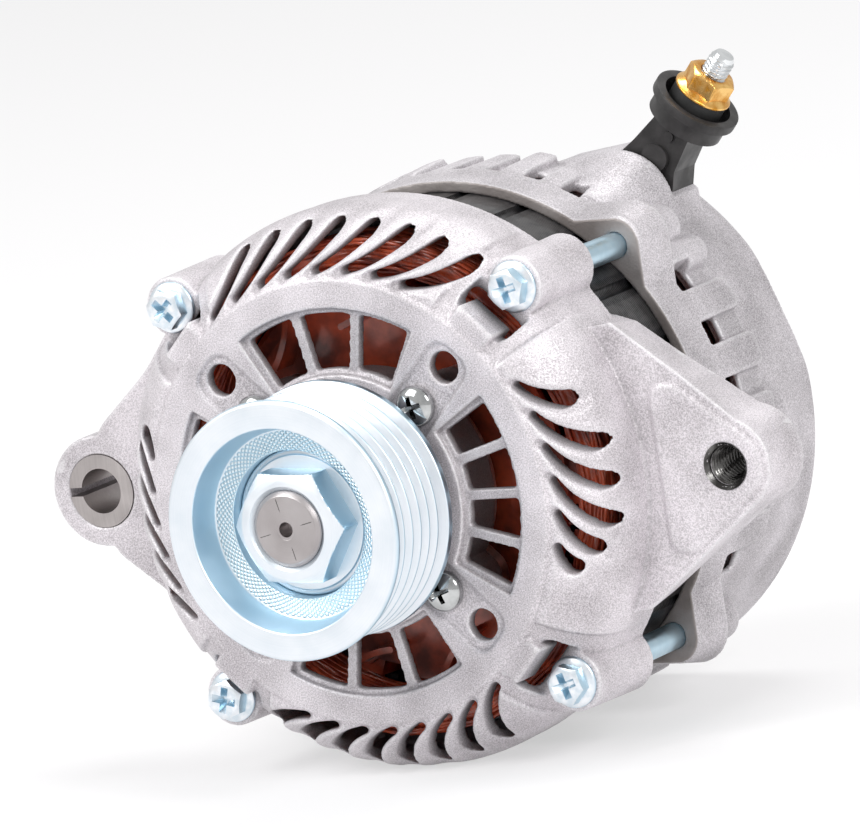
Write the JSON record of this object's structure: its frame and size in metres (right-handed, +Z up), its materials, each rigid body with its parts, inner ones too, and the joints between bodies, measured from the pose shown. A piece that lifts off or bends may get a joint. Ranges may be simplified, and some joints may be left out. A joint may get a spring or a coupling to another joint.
{
  "type": "alternator",
  "caption": "Belt-driven car alternator with a grooved pulley, louvred cast brackets, a split-bush pivot ear, a threaded adjusting ear and an output stud.",
  "frame": {"origin": "on the shaft's axis, in the middle plane of the pulley", "axes": "Y lies along the shaft and the pulley faces -Y; +Z is up as in the picture; +X points right seen from the pulley's side, to the adjusting ear, and -X to the pivot ear"},
  "size_m": [0.1912, 0.1395, 0.1429],
  "materials": {
    "cast_aluminium": "shot-blasted casting",
    "stator_laminations": "dark varnished sheet stack",
    "varnished_copper": "glossy red-brown varnish over copper wire",
    "zinc_steel": "bright blue-white zinc",
    "bright_screws": "polished steel",
    "bush_steel": "turned steel",
    "plain_steel": "plain steel",
    "shaft_steel": "ground steel",
    "pole_steel": "dark forged steel",
    "fan_steel": "dark pressed steel",
    "bearing_steel": "ground steel",
    "ring_copper": "turned copper",
    "carbon": "carbon and copper block",
    "plate_aluminium": "bare sheet",
    "diode_steel": "nickel plate",
    "dark_plastic": "black glass-filled plastic",
    "terminal_plastic": "dark grey-brown plastic",
    "pin_brass": "tinned brass",
    "nut_brass": "yellow passivated"
  },
  "bodies": {
    "stator_housing": {"front_bracket": "cast_aluminium", "rear_bracket": "cast_aluminium", "stator_core": "stator_laminations", "stator_windings": "varnished_copper", "through_bolts": "zinc_steel", "pivot_bush": "bush_steel", "bearing_retainer": "plain_steel", "retainer_screws": "bright_screws", "brush_holder": "dark_plastic", "brush_holder_screws": "zinc_steel", "brush_spring_front": "plain_steel", "brush_spring_rear": "plain_steel", "rectifier_plate_positive": "plate_aluminium", "rectifier_plate_negative": "plate_aluminium", "diodes_positive": "diode_steel", "diodes_negative": "diode_steel", "rectifier_spacers": "dark_plastic", "rectifier_screws": "zinc_steel", "regulator": "dark_plastic", "regulator_screws": "zinc_steel", "plug_socket": "dark_plastic", "socket_pins": "pin_brass", "terminal_stud": "zinc_steel", "terminal_stand": "terminal_plastic", "terminal_bush": "dark_plastic", "terminal_nut": "nut_brass", "front_bearing_outer_ring": "bearing_steel", "front_bearing_shields": "bearing_steel", "rear_bearing_outer_ring": "bearing_steel", "rear_bearing_shields": "bearing_steel"},
    "rotor": {"pulley": "zinc_steel", "pulley_nut": "zinc_steel", "spacer_collar": "plain_steel", "rotor_shaft": "shaft_steel", "claw_pole_front": "pole_steel", "claw_pole_rear": "pole_steel", "coil_bobbin": "dark_plastic", "field_coil": "varnished_copper", "fan_front": "fan_steel", "fan_rear": "fan_steel", "slip_rings": "ring_copper", "slip_ring_hub": "dark_plastic", "front_bearing_inner_ring": "bearing_steel", "rear_bearing_inner_ring": "bearing_steel"},
    "front_ball_set": {"front_bearing_balls": "bearing_steel", "front_bearing_cage": "dark_plastic"},
    "rear_ball_set": {"rear_bearing_balls": "bearing_steel", "rear_bearing_cage": "dark_plastic"},
    "front_brush": {"brush_front": "carbon"},
    "rear_brush": {"brush_rear": "carbon"}
  },
  "joints": [
    {"name": "rotor_spin", "type": "hinge", "parent": "stator_housing", "child": "rotor", "pos_m": [0, 0, 0], "axis": [0, -1, 0], "continuous": true},
    {"name": "front_balls_orbit", "type": "hinge", "parent": "stator_housing", "child": "front_ball_set", "pos_m": [0, 0.026, 0], "axis": [0, -1, 0], "continuous": true},
    {"name": "rear_balls_orbit", "type": "hinge", "parent": "stator_housing", "child": "rear_ball_set", "pos_m": [0, 0.119, 0], "axis": [0, -1, 0], "continuous": true},
    {"name": "front_brush_slide", "type": "slide", "parent": "stator_housing", "child": "front_brush", "axis": [0, 0, 1], "range_m": [0, 0.006], "stiffness_N_per_m": 300, "springref_m": -0.006, "deforming": ["brush_spring_front"]},
    {"name": "rear_brush_slide", "type": "slide", "parent": "stator_housing", "child": "rear_brush", "axis": [0, 0, 1], "range_m": [0, 0.006], "stiffness_N_per_m": 300, "springref_m": -0.006, "deforming": ["brush_spring_rear"]}
  ],
  "couplings": [
    {"joint": "front_balls_orbit", "follows": "rotor_spin", "ratio": 0.365},
    {"joint": "rear_balls_orbit", "follows": "rotor_spin", "ratio": 0.383}
  ]
}
